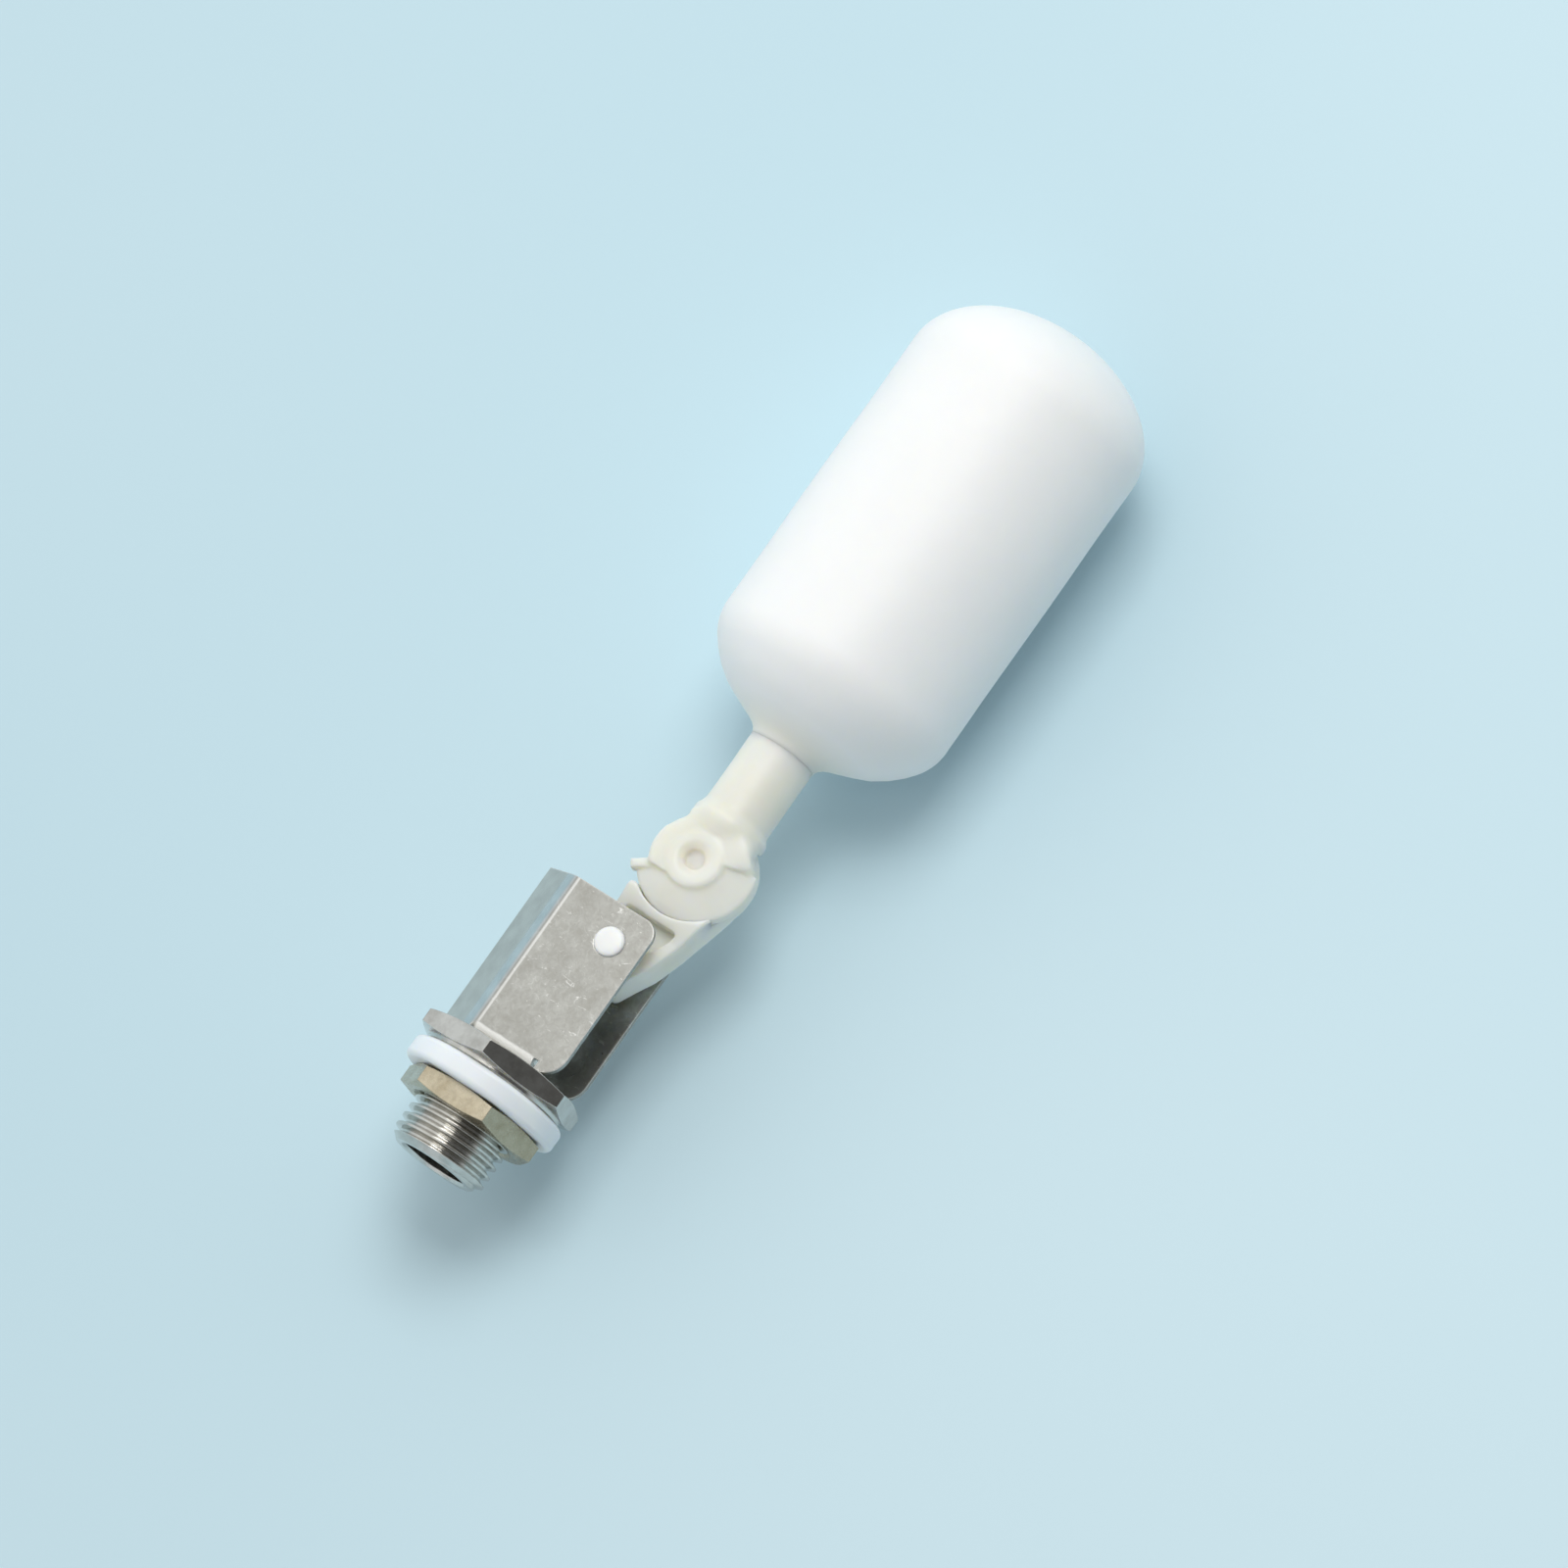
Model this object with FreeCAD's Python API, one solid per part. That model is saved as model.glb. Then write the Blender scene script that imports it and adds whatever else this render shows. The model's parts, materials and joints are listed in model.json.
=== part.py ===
import FreeCAD, Part
import os
import math

Vec = FreeCAD.Vector

# Small float valve. Millimetres.
# +X runs along the inlet axis from the supply thread to the float, +Z along the lever pin,
# +Y towards the hood's closed back. The origin is on the inlet axis, in the flange's sealing face.

# ---------------------------------------------------------------- driving dimensions
# supply thread, G 1/4
THREAD_R = 6.58
THREAD_CORE_R = 5.72
THREAD_PITCH = 1.337
THREAD_CREST = 0.26
THREAD_FOOT = 1.16
THREAD_RUNOUT = 1.3
SHANK_LENGTH = 12.1
SHANK_CHAMFER = 1.1
BORE_R = 4.3

# hexagon flange and its collar
FLANGE_AF = 20.0
FLANGE_CORNER_DEG = 5.5
COLLAR_R = 9.6
COLLAR_LENGTH = 0.7
FLANGE_TOP = 3.4

# washer and lock nut, both tight against the flange
WASHER_R = 10.6
WASHER_THICK = 3.0
WASHER_ROUND = 0.75
NUT_AF = 17.0
NUT_CORNER_DEG = 31.0
NUT_THICK = 3.0
NUT_BORE_R = 6.66
HEX_CHAMFER = 0.55

# barrel, nozzle and plunger
BARREL_R = 4.2
BARREL_BORE_R = 3.3
BARREL_TOP = 11.0
SEAT_FOOT = -1.5
SEAT_TOP = 4.6
SEAT_LIP_R = 2.0
JET_R = 1.2
PORT_X = 5.4
PORT_LENGTH = 3.4
PORT_WIDTH = 3.0
PLUNGER_R = 3.24
PLUNGER_TOP = 13.5
SEAL_R = 2.7
SEAL_THICK = 1.6
SEAL_GAP = 0.1

# hood
SHEET = 0.8
HOOD_HALF = 5.75
HOOD_FOOT = FLANGE_TOP
HOOD_TOP = 26.2
HOOD_FOLD_Y = 4.4
HOOD_NOSE_Y = 9.8
HOOD_EDGE_Y = -8.5
HOOD_TOP_CORNER_R = 2.1
HOOD_FOOT_CORNER_R = 3.1
FOLD_R = 1.1
TAB_BEND_R = 1.5
NOSE_R = 0.42
TAB_END_Y = -4.8
TAB_GAP = 0.3
RELIEF = 0.7
RING_R = 4.8
RING_THICK = 0.8

# lever and its pin
PIN_X = 21.5
PIN_Y = -4.1
PIN_R = 1.9
PIN_PROUD = 0.55
PIN_CLEARANCE = 0.06
HALF_THICK = 3.1
HUB_R = 3.3
HUB_GAP = 0.3
LEVER_BACK_Y = -0.5
LEVER_FOOT_X = 16.7
CAM_HALF = 2.1
CAM_R = 1.8
POCKET_TOP_X = 27.2
WEB = 0.7

# knuckle, where the float arm laps the lever
KNUCKLE_X = 35.9
KNUCKLE_Y = -6.1
LAP_GAP = 0.1
LEVER_EAR_R = 6.7
CHEEK_R = 7.6
ARM_EAR_R = 5.9
ARM_EAR_FACE = 2.7
SKIRT_R = 7.5
SKIRT_RIM = 2.3
SKIRT_TOP = 3.6
SKIRT_TOP_R = 3.4
EAR_CLEARANCE = 0.3
RAISED_FACE = 4.0
RAISED_ROUND = 0.75
BOSS_R = 3.75
BOSS_FACE = 4.15
DIMPLE_R = 1.3
DIMPLE_FLOOR = 3.1
DISH_R = 2.3
TAB_DEG = 123.0
TAB_TIP_R = 8.1
SCREW_R = 1.35
SCREW_TIP = 2.0
SCREW_HEAD_R = 2.5
SCREW_HEAD_THICK = 1.5
SCREW_SEAT = -3.16
SPACER_R = 3.2
SPACER_THICK = 0.5

# float arm, on an axis through the knuckle
ARM_COLLAR_X0 = 41.5
ARM_COLLAR_X1 = 43.3
ARM_COLLAR_R = 5.05
LUG_REACH = 8.2
STEM_R = 4.5

# float
FLOAT_X0 = 55.0
FLOAT_X1 = 115.7
FLOAT_R = 16.3
FLOAT_WALL = 1.0
SHOULDER_X = 61.8
SHOULDER_R = 6.7
DOME_LENGTH = 11.0
NECK_X = 53.6
NECK_R = 6.0
SOCKET_DEPTH = 9.0
SOCKET_WALL = 1.0

X_AXIS = Vec(1, 0, 0)
Z_AXIS = Vec(0, 0, 1)
ORIGIN = Vec(0, 0, 0)
TINY = 0.01


# ---------------------------------------------------------------- helpers
def drum(x0, x1, radius):
    """Solid cylinder along X."""
    return Part.makeCylinder(radius, x1 - x0, Vec(x0, 0, 0), X_AXIS)


def post(x, y, z0, z1, radius):
    """Solid cylinder along Z."""
    return Part.makeCylinder(radius, z1 - z0, Vec(x, y, z0), Z_AXIS)


def block(x0, x1, y0, y1, z0, z1):
    return Part.makeBox(x1 - x0, y1 - y0, z1 - z0, Vec(x0, y0, z0))


def knuckle_post(z0, z1, radius):
    return post(KNUCKLE_X, KNUCKLE_Y, z0, z1, radius)


def lathe(profile, y=0.0):
    """Solid of revolution about the X direction, from (x, radius) points."""
    points = [Vec(x, y + radius, 0) for x, radius in profile]
    face = Part.Face(Part.makePolygon(points + [points[0]]))
    return face.revolve(Vec(0, y, 0), X_AXIS, 360)


def turned(corner, before, after, radius):
    """Where a rounded corner's arc starts, passes and ends."""
    to_before = (before - corner).normalize()
    to_after = (after - corner).normalize()
    half = math.acos(to_before.dot(to_after)) / 2
    reach = radius / math.tan(half)
    middle = (to_before + to_after).normalize()
    centre = corner + middle * (radius / math.sin(half))
    return corner + to_before * reach, centre - middle * radius, corner + to_after * reach


def rounded_polygon(corners):
    """Closed wire in the XY plane through (x, y, radius) corners, each rounded by an arc."""
    points = [Vec(x, y, 0) for x, y, radius in corners]
    stops = []
    for i, (x, y, radius) in enumerate(corners):
        if radius > 0:
            stops.append(turned(points[i], points[i - 1], points[(i + 1) % len(points)], radius))
        else:
            stops.append((points[i], None, points[i]))
    edges = []
    for i, (enter, through, leave) in enumerate(stops):
        if through is not None:
            edges.append(Part.Arc(enter, through, leave).toShape())
        following = stops[(i + 1) % len(stops)][0]
        if leave.distanceToPoint(following) > 1e-6:
            edges.append(Part.LineSegment(leave, following).toShape())
    return Part.Wire(edges)


def plate(corners, z0, z1):
    """Plate in the XY plane between two heights."""
    solid = Part.Face(rounded_polygon(corners)).extrude(Vec(0, 0, z1 - z0))
    solid.translate(Vec(0, 0, z0))
    return solid


def hexagon(x0, x1, across_flats, corner_deg, face_r, chamfer):
    """Hexagon prism along X with both ends chamfered; corner_deg turns a corner away from +Z."""
    corner_r = across_flats / math.sqrt(3)
    points = []
    for k in range(7):
        angle = math.radians(corner_deg + 60 * k)
        points.append(Vec(x0, -corner_r * math.sin(angle), corner_r * math.cos(angle)))
    prism = Part.Face(Part.makePolygon(points)).extrude(Vec(x1 - x0, 0, 0))
    outer = corner_r + 0.2
    return prism.common(lathe([
        (x0, 0), (x0, face_r), (x0 + chamfer, outer), (x1 - chamfer, outer), (x1, face_r), (x1, 0),
    ]))


def edges_where(shape, test):
    return [edge for edge in shape.Edges if test(edge)]


def top_rim(shape):
    """Edges that lie in the highest face."""
    top = shape.BoundBox.ZMax
    return edges_where(shape, lambda e: e.BoundBox.ZMin > top - TINY)


def save(shape, node):
    shape = shape.removeSplitter()
    solids = shape.Solids
    assert solids and shape.isValid(), node
    out = solids[0] if len(solids) == 1 else Part.makeCompound(solids)
    out.exportStep("parts/%s.step" % node)
    print("%-16s solids %d volume %8.1f" % (node, len(solids), out.Volume))


# ---------------------------------------------------------------- inlet body
def thread_ridge():
    """Right-handed helical ridge, longer than the thread, to be trimmed by the shank."""
    length = SHANK_LENGTH - THREAD_RUNOUT + 2 * THREAD_PITCH
    helix = Part.makeHelix(THREAD_PITCH, length, THREAD_CORE_R)
    sunk = THREAD_CORE_R - 0.12
    section = Part.makePolygon([
        Vec(sunk, 0, -THREAD_FOOT / 2),
        Vec(THREAD_R, 0, -THREAD_CREST / 2),
        Vec(THREAD_R, 0, THREAD_CREST / 2),
        Vec(sunk, 0, THREAD_FOOT / 2),
        Vec(sunk, 0, -THREAD_FOOT / 2),
    ])
    ridge = Part.Wire(helix).makePipeShell([section], True, True)
    ridge.rotate(ORIGIN, Vec(0, 1, 0), 90)
    ridge.translate(Vec(-SHANK_LENGTH - THREAD_PITCH, 0, 0))
    return ridge


def inlet_body():
    end_r = THREAD_CORE_R - 0.25
    crest_r = THREAD_R + 0.1
    thread = thread_ridge().common(lathe([
        (-SHANK_LENGTH, 0), (-SHANK_LENGTH, end_r), (-SHANK_LENGTH + SHANK_CHAMFER, crest_r),
        (-THREAD_RUNOUT - 0.6, crest_r), (-THREAD_RUNOUT, THREAD_CORE_R - 0.1), (-THREAD_RUNOUT, 0),
    ]))
    core = lathe([
        (-SHANK_LENGTH, 0), (-SHANK_LENGTH, end_r), (-SHANK_LENGTH + 0.25, THREAD_CORE_R),
        (0, THREAD_CORE_R), (0, COLLAR_R - 0.25), (0.25, COLLAR_R), (COLLAR_LENGTH + 0.1, COLLAR_R),
        (COLLAR_LENGTH + 0.1, BARREL_R), (BARREL_TOP - 0.4, BARREL_R), (BARREL_TOP, BARREL_R - 0.4),
        (BARREL_TOP, 0),
    ])
    flange = hexagon(COLLAR_LENGTH, FLANGE_TOP, FLANGE_AF, FLANGE_CORNER_DEG,
                     FLANGE_AF / 2 - 0.15, HEX_CHAMFER)
    mouth = lathe([
        (-SHANK_LENGTH - 0.1, 0), (-SHANK_LENGTH - 0.1, BORE_R + 0.45), (-SHANK_LENGTH + 0.35, BORE_R),
        (-SHANK_LENGTH + 0.35, 0),
    ])
    body = core.fuse(flange).fuse(thread)
    body = body.cut(mouth)
    body = body.cut(drum(-SHANK_LENGTH - 1, SEAT_FOOT, BORE_R))
    body = body.cut(drum(SEAT_FOOT - 1, BARREL_TOP + 1, BARREL_BORE_R))
    for turn in range(4):
        port = block(PORT_X, PORT_X + PORT_LENGTH, 0, BARREL_R + 2, -PORT_WIDTH / 2, PORT_WIDTH / 2)
        port.rotate(ORIGIN, X_AXIS, 45 + 90 * turn)
        body = body.cut(port)
    return body


def nozzle_seat():
    fit_r = BARREL_BORE_R - 0.02
    foot_jet_r = 2.2
    return lathe([
        (SEAT_FOOT, foot_jet_r), (SEAT_FOOT, fit_r), (SEAT_TOP - 1.6, fit_r),
        (SEAT_TOP - 1.4, SEAT_LIP_R + 0.7), (SEAT_TOP - 0.2, SEAT_LIP_R), (SEAT_TOP, SEAT_LIP_R - 0.25),
        (SEAT_TOP, JET_R + 0.2), (SEAT_TOP - 0.2, JET_R), (SEAT_TOP - 3.0, JET_R),
    ])


# ---------------------------------------------------------------- washer and lock nut
def sealing_washer():
    washer = drum(-WASHER_THICK, 0, WASHER_R).cut(drum(-WASHER_THICK - 1, 1, THREAD_R + 0.12))
    rims = edges_where(washer, lambda e: e.BoundBox.XLength < TINY
                       and e.BoundBox.ZLength > 2 * WASHER_R - 0.1)
    return washer.makeFillet(WASHER_ROUND, rims)


def lock_nut():
    x0 = -WASHER_THICK - NUT_THICK
    x1 = -WASHER_THICK
    nut = hexagon(x0, x1, NUT_AF, NUT_CORNER_DEG, NUT_AF / 2 - 0.2, HEX_CHAMFER)
    return nut.cut(lathe([
        (x0 - 0.1, 0), (x0 - 0.1, NUT_BORE_R + 0.6), (x0 + 0.5, NUT_BORE_R),
        (x1 - 0.5, NUT_BORE_R), (x1 + 0.1, NUT_BORE_R + 0.6), (x1 + 0.1, 0),
    ]))


# ---------------------------------------------------------------- hood
def hood_prism(inset, edge_y, fold_r, nose_r):
    """Inside of the folded sheet's outline, moved in from its outer face, over the hood's height."""
    side = HOOD_HALF - inset
    fold_y = HOOD_FOLD_Y - inset * (math.sqrt(2) - 1)
    nose_y = HOOD_NOSE_Y - inset
    nose_z = side - (nose_y - fold_y)
    face = Part.Face(rounded_polygon([
        (edge_y, -side, 0), (fold_y, -side, fold_r), (nose_y, -nose_z, nose_r),
        (nose_y, nose_z, nose_r), (fold_y, side, fold_r), (edge_y, side, 0),
    ]))
    solid = face.extrude(Vec(0, 0, HOOD_TOP - HOOD_FOOT))
    # drawn flat, then X turns to Y, Y to Z and the pull to X
    solid.Placement = FreeCAD.Placement(Vec(HOOD_FOOT, 0, 0), FreeCAD.Rotation(Vec(1, 1, 1), 120))
    return solid


def bend_corner():
    """What the round bend between the front side plate and its tab takes off the square corner."""
    bend_x = HOOD_FOOT + TAB_BEND_R
    bend_z = HOOD_HALF - TAB_BEND_R
    square = block(HOOD_FOOT - 1, bend_x, TAB_END_Y, HOOD_FOLD_Y, bend_z, HOOD_HALF + 1)
    centre = Vec(bend_x, TAB_END_Y - 1, bend_z)
    return square.cut(Part.makeCylinder(TAB_BEND_R, HOOD_FOLD_Y - TAB_END_Y + 2, centre, Vec(0, 1, 0)))


def hood():
    outer = hood_prism(0, HOOD_EDGE_Y, FOLD_R, NOSE_R)
    inner = hood_prism(SHEET, HOOD_EDGE_Y - 1, FOLD_R - SHEET + 0.1, 0)
    outline = plate([
        (HOOD_FOOT + 0.02, TAB_END_Y, 0), (HOOD_FOOT + 0.02, HOOD_EDGE_Y, HOOD_FOOT_CORNER_R),
        (HOOD_TOP, HOOD_EDGE_Y, HOOD_TOP_CORNER_R), (HOOD_TOP, HOOD_NOSE_Y + 1, 0),
        (HOOD_FOOT, HOOD_NOSE_Y + 1, 0), (HOOD_FOOT, TAB_END_Y, 0),
    ], -HOOD_HALF - 1, HOOD_HALF + 1)
    shell = outer.cut(inner).common(outline)
    # foot tabs bent in from both side plates, each with a relief notch at its end
    tab = block(HOOD_FOOT, HOOD_FOOT + SHEET, TAB_END_Y, HOOD_FOLD_Y, TAB_GAP / 2, HOOD_HALF)
    notch = block(HOOD_FOOT - 1, HOOD_FOOT + 1.3, TAB_END_Y - RELIEF, TAB_END_Y,
                  HOOD_HALF - 2.4, HOOD_HALF + 1)
    corner = bend_corner()
    shell = shell.fuse(tab).cut(corner).cut(notch)
    shell = shell.fuse(tab.mirror(ORIGIN, Z_AXIS))
    shell = shell.cut(corner.mirror(ORIGIN, Z_AXIS)).cut(notch.mirror(ORIGIN, Z_AXIS))
    shell = shell.cut(drum(HOOD_FOOT - 1, HOOD_FOOT + 3, BARREL_R + 0.02))
    return shell.cut(post(PIN_X, PIN_Y, -HOOD_HALF - 1, HOOD_HALF + 1, PIN_R + 0.01))


def hood_ring():
    x0 = HOOD_FOOT + SHEET
    return drum(x0, x0 + RING_THICK, RING_R).cut(drum(x0 - 1, x0 + 2, BARREL_R + 0.01))


# ---------------------------------------------------------------- plunger and seal
def seal_disc():
    x0 = SEAT_TOP + SEAL_GAP
    return drum(x0, x0 + SEAL_THICK, SEAL_R)


def plunger():
    seal_x = SEAT_TOP + SEAL_GAP
    skirt_x = seal_x + 0.5
    body = lathe([
        (skirt_x, 0), (skirt_x, PLUNGER_R), (PLUNGER_TOP - 0.9, PLUNGER_R),
        (PLUNGER_TOP - 0.3, PLUNGER_R - 0.5), (PLUNGER_TOP, PLUNGER_R - 1.4), (PLUNGER_TOP, 0),
    ])
    return body.cut(drum(skirt_x - 1, seal_x + SEAL_THICK, SEAL_R))


# ---------------------------------------------------------------- lever and pin
def lever_pin():
    reach = HOOD_HALF + PIN_PROUD
    pin = post(PIN_X, PIN_Y, -reach, reach, PIN_R)
    rims = edges_where(pin, lambda e: e.BoundBox.ZLength < TINY)
    return pin.makeFillet(0.35, rims)


def lever_blank():
    """Lever's outline at full thickness, without the knuckle's step."""
    return plate([
        (KNUCKLE_X - 3.0, LEVER_BACK_Y, 0.5), (LEVER_FOOT_X, LEVER_BACK_Y, 2.0), (LEVER_FOOT_X, -6.1, 1.2),
        (21.5, -8.8, 6.0), (25.1, -10.1, 8.0), (32.1, -12.1, 8.0), (KNUCKLE_X, KNUCKLE_Y - LEVER_EAR_R, 0),
        (KNUCKLE_X, KNUCKLE_Y, 0), (KNUCKLE_X - 3.0, KNUCKLE_Y, 0),
    ], -HALF_THICK, HALF_THICK)


def cam_foot():
    """Foot that reaches down to the plunger's crown."""
    tip_x = PLUNGER_TOP + 0.2
    return plate([
        (PIN_X + 1.5, PIN_Y + 3.0, 0.5), (tip_x + CAM_R + 1.0, CAM_R, 1.5), (tip_x, CAM_R, 1.7),
        (tip_x, -CAM_R, 1.7), (PIN_X - 3.0, PIN_Y - 1.5, 0.5), (PIN_X + 1.0, PIN_Y - 1.0, 0.3),
    ], -CAM_HALF, CAM_HALF)


def lever_pocket(z0, z1):
    """Moulded pocket between the pin's hub and the knuckle."""
    pocket = plate([
        (POCKET_TOP_X, LEVER_BACK_Y - 1.3, 0.6), (POCKET_TOP_X, -9.4, 0.5), (25.0, -8.7, 4.0),
        (PIN_X + 1.2, -7.0, 0.6), (PIN_X + 1.2, LEVER_BACK_Y - 1.3, 0.6),
    ], z0, z1)
    return pocket.cut(post(PIN_X, PIN_Y, z0, z1, HUB_R + 0.4))


def lever():
    hub_half = HOOD_HALF - SHEET - HUB_GAP
    body = lever_blank().fuse(knuckle_post(-HALF_THICK, HALF_THICK, LEVER_EAR_R))
    # front half is open for the arm's ear and its stops
    lap = -LAP_GAP / 2
    body = body.cut(knuckle_post(lap, HALF_THICK + 1, CHEEK_R))
    cheek_tip = edges_where(body, lambda e: e.BoundBox.XLength < TINY and e.BoundBox.ZMin > lap - TINY
                            and e.BoundBox.ZLength > HALF_THICK - 0.1
                            and abs(e.BoundBox.YMin - LEVER_BACK_Y) < TINY)
    body = body.makeFillet(0.7, cheek_tip)
    body = body.fuse(cam_foot()).fuse(post(PIN_X, PIN_Y, -hub_half, hub_half, HUB_R))
    body = body.cut(lever_pocket(WEB, HALF_THICK + 1)).cut(lever_pocket(-HALF_THICK - 1, -WEB))
    body = body.cut(post(PIN_X, PIN_Y, -HOOD_HALF, HOOD_HALF, PIN_R + PIN_CLEARANCE))
    return body.cut(knuckle_post(-HALF_THICK - 1, HALF_THICK + 1, SCREW_R + 0.08))


# ---------------------------------------------------------------- float arm and knuckle screw
def knuckle_plate(corners, z0, z1):
    """Plate from corners given as distances from the knuckle's centre."""
    return plate([(KNUCKLE_X + dx, KNUCKLE_Y + dy, radius) for dx, dy, radius in corners], z0, z1)


def arm_ear():
    """Disc that laps the lever: a wide sloping skirt below, a raised face above, the boss in the middle."""
    lap = LAP_GAP / 2
    open_side = knuckle_plate([
        (2.6, -7.6, 0), (0, 0, 0), (-5.0, 7.7, 0), (-9.0, 7.7, 0), (-9.0, -9.0, 0), (2.6, -9.0, 0),
    ], lap, RAISED_FACE)
    slope = Part.makeCone(SKIRT_R, SKIRT_TOP_R, SKIRT_TOP - SKIRT_RIM, Vec(KNUCKLE_X, KNUCKLE_Y, SKIRT_RIM))
    skirt = knuckle_post(lap, SKIRT_RIM, SKIRT_R).fuse(slope).common(open_side)
    ear = knuckle_post(lap, ARM_EAR_FACE, ARM_EAR_R).fuse(skirt)
    raised = knuckle_post(ARM_EAR_FACE - 0.5, RAISED_FACE, ARM_EAR_R)
    raised = raised.makeFillet(RAISED_ROUND, top_rim(raised))
    upper = knuckle_plate([
        (-3.2, 9.0, 0), (-3.2, 1.0, 0.6), (0.5, -1.0, 0.6), (0.9, -2.6, 0), (3.0, -7.0, 0), (9.0, -7.0, 0),
        (9.0, 9.0, 0),
    ], lap, RAISED_FACE + 1)
    boss = knuckle_post(ARM_EAR_FACE - 0.5, BOSS_FACE, BOSS_R)
    boss = boss.makeFillet(0.5, top_rim(boss))
    # stop tab on the rim, on the hood's closed side
    tab = block(ARM_EAR_R - 0.8, TAB_TIP_R, -0.6, 0.6, ARM_EAR_FACE - 1.4, ARM_EAR_FACE + 0.4)
    tab.rotate(ORIGIN, Z_AXIS, TAB_DEG)
    tab.translate(Vec(KNUCKLE_X, KNUCKLE_Y, 0))
    return ear.fuse(raised.common(upper)).fuse(boss).fuse(tab)


def float_arm():
    lap = LAP_GAP / 2
    neck_end = ARM_COLLAR_X0 - KNUCKLE_X + 0.4
    neck = knuckle_plate([
        (0.9, -2.6, 0), (2.4, -6.9, 0.5), (4.2, -5.2, 1.5), (neck_end, -ARM_COLLAR_R + 0.1, 0),
        (neck_end, ARM_COLLAR_R - 0.1, 0), (4.0, 3.7, 0), (0.9, 2.6, 0),
    ], lap, RAISED_FACE)
    neck = neck.common(lathe([
        (KNUCKLE_X - 1, 0), (KNUCKLE_X - 1, LUG_REACH), (KNUCKLE_X + 3.0, LUG_REACH),
        (ARM_COLLAR_X0, ARM_COLLAR_R), (KNUCKLE_X + neck_end + 1, ARM_COLLAR_R),
        (KNUCKLE_X + neck_end + 1, 0),
    ], KNUCKLE_Y))
    stem = lathe([
        (ARM_COLLAR_X0 - 2.6, 0), (ARM_COLLAR_X0 - 2.6, 3.7), (ARM_COLLAR_X0, ARM_COLLAR_R),
        (ARM_COLLAR_X1 - 0.9, ARM_COLLAR_R), (ARM_COLLAR_X1, STEM_R),
        (NECK_X + SOCKET_DEPTH - 0.5, STEM_R), (NECK_X + SOCKET_DEPTH, STEM_R - 0.5),
        (NECK_X + SOCKET_DEPTH, 0),
    ], KNUCKLE_Y)
    stem = stem.cut(knuckle_post(-HALF_THICK - 3, lap, LEVER_EAR_R + EAR_CLEARANCE))
    arm = arm_ear().fuse(neck).fuse(stem)
    arm = arm.cut(knuckle_post(lap - 1, SCREW_TIP + 0.3, SCREW_R + 0.03))
    dish = Part.makeCone(DIMPLE_R, DISH_R, BOSS_FACE - DIMPLE_FLOOR - 0.5,
                         Vec(KNUCKLE_X, KNUCKLE_Y, DIMPLE_FLOOR + 0.5))
    return arm.cut(knuckle_post(DIMPLE_FLOOR, BOSS_FACE, DIMPLE_R)).cut(dish)


def knuckle_washer():
    spacer = knuckle_post(SCREW_SEAT - SPACER_THICK, SCREW_SEAT, SPACER_R)
    return spacer.cut(knuckle_post(SCREW_SEAT - 1, SCREW_SEAT + 1, SCREW_R + 0.05))


def knuckle_screw():
    head_top = SCREW_SEAT - SPACER_THICK
    head_foot = head_top - SCREW_HEAD_THICK
    head = knuckle_post(head_foot, head_top, SCREW_HEAD_R)
    rim = edges_where(head, lambda e: e.BoundBox.ZMax < head_foot + TINY and e.BoundBox.XLength > TINY)
    screw = head.makeFillet(0.8, rim).fuse(knuckle_post(head_top - 0.2, SCREW_TIP, SCREW_R))
    for turn in (0, 90):
        slot = block(-1.5, 1.5, -0.3, 0.3, head_foot - 1, head_foot + 0.8)
        slot.rotate(ORIGIN, Z_AXIS, turn)
        slot.translate(Vec(KNUCKLE_X, KNUCKLE_Y, 0))
        screw = screw.cut(slot)
    return screw


# ---------------------------------------------------------------- float
def float_skin(inset):
    """Float's outer form moved in by inset: flat foot, two cones, straight wall, elliptic dome."""
    radius = FLOAT_R - inset
    foot_x = FLOAT_X0 + inset
    dome = Vec(FLOAT_X1 - DOME_LENGTH, 0, 0)
    ellipse = Part.Ellipse(dome + Vec(0, radius, 0), dome + Vec(DOME_LENGTH - inset, 0, 0), dome)
    crown = Part.ArcOfEllipse(ellipse, 0, math.pi / 2).toShape()
    wall = rounded_polygon([
        (foot_x, 0, 0), (foot_x, NECK_R - inset, 0), (56.8 + inset, 10.75 - inset / 2, 10.0),
        (SHOULDER_X + inset / 2, radius, SHOULDER_R), (dome.x, radius, 0), (dome.x, 0, 0),
    ])
    cylinder = Part.Face(wall).revolve(ORIGIN, X_AXIS, 360)
    quarter = Part.Wire([crown, Part.makeLine(dome + Vec(0, radius, 0), dome),
                         Part.makeLine(dome, dome + Vec(DOME_LENGTH - inset, 0, 0))])
    skin = cylinder.fuse(Part.Face(quarter).revolve(ORIGIN, X_AXIS, 360))
    skin.translate(Vec(0, KNUCKLE_Y, 0))
    return skin


def float_shell():
    socket_end = NECK_X + SOCKET_DEPTH
    neck = lathe([
        (NECK_X, 0), (NECK_X, STEM_R + 0.2), (FLOAT_X0 + 0.1, NECK_R), (FLOAT_X0 + 1.0, NECK_R),
        (FLOAT_X0 + 1.0, 0),
    ], KNUCKLE_Y)
    socket = lathe([
        (FLOAT_X0, 0), (FLOAT_X0, STEM_R + SOCKET_WALL), (socket_end + SOCKET_WALL, STEM_R + SOCKET_WALL),
        (socket_end + SOCKET_WALL, 0),
    ], KNUCKLE_Y)
    hole_r = STEM_R + 0.01
    hole = lathe([
        (NECK_X - 1, 0), (NECK_X - 1, hole_r), (socket_end + 0.2, hole_r), (socket_end + 0.2, 0),
    ], KNUCKLE_Y)
    return float_skin(0).cut(float_skin(FLOAT_WALL)).fuse(neck).fuse(socket).cut(hole)


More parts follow.
